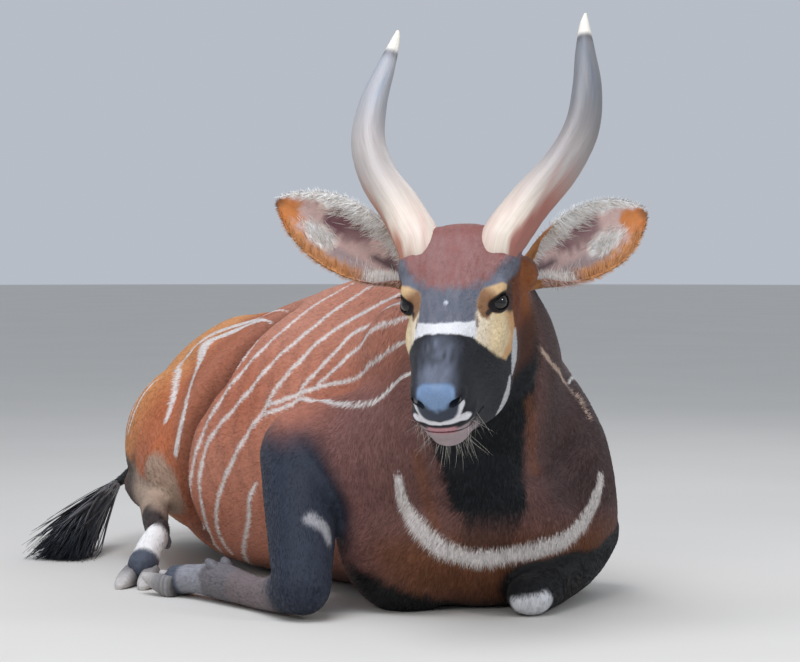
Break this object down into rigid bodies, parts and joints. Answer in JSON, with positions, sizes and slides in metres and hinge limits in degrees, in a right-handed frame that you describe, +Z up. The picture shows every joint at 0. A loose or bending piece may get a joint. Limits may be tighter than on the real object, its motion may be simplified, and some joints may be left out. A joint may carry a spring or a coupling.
{
  "type": "lying bongo antelope",
  "caption": "Life-size bongo antelope lying on its brisket with folded legs, lyre-shaped horns, large cupped ears, a white-barred face and a striped coat.",
  "frame": {"origin": "on the floor, under the centre of the bounding box", "axes": "+Z up; +Y from the head end to the rump, so the animal faces -Y; +X to the animal's left"},
  "size_m": [0.8648, 1.5354, 0.9867],
  "materials": {
    "body_coat": "short glossy chestnut coat with thin white stripes",
    "leg_coat": "short slate-black coat",
    "pastern_coat": "short white coat with dark bands",
    "face_coat": "very short coat, charcoal muzzle and white bar",
    "ear_coat": "chestnut outside, pale haired rim inside",
    "tuft_hair": "long black hair",
    "eye": "wet dark eye",
    "horn": "grained horn with an ivory tip",
    "hoof": "dark grained hoof"
  },
  "bodies": {
    "root": {"ear_left": "ear_coat", "ear_right": "ear_coat", "eye_left": "eye", "eye_right": "eye", "fore_left_cannon": "leg_coat", "fore_left_forearm": "leg_coat", "fore_left_hoof_inner": "hoof", "fore_left_hoof_outer": "hoof", "fore_left_pastern": "pastern_coat", "fore_left_upper": "body_coat", "fore_right_cannon": "leg_coat", "fore_right_forearm": "leg_coat", "fore_right_hoof_inner": "hoof", "fore_right_hoof_outer": "hoof", "fore_right_pastern": "pastern_coat", "fore_right_upper": "body_coat", "head": "face_coat", "hind_left_cannon": "leg_coat", "hind_left_hoof_inner": "hoof", "hind_left_hoof_outer": "hoof", "hind_left_pastern": "pastern_coat", "hind_left_shank": "body_coat", "hind_left_thigh": "body_coat", "hind_right_cannon": "leg_coat", "hind_right_hoof_inner": "hoof", "hind_right_hoof_outer": "hoof", "hind_right_pastern": "pastern_coat", "hind_right_shank": "body_coat", "hind_right_thigh": "body_coat", "horn_left": "horn", "horn_right": "horn", "neck": "body_coat", "tail": "body_coat", "tail_tuft": "tuft_hair", "torso": "body_coat"}
  },
  "joints": []
}
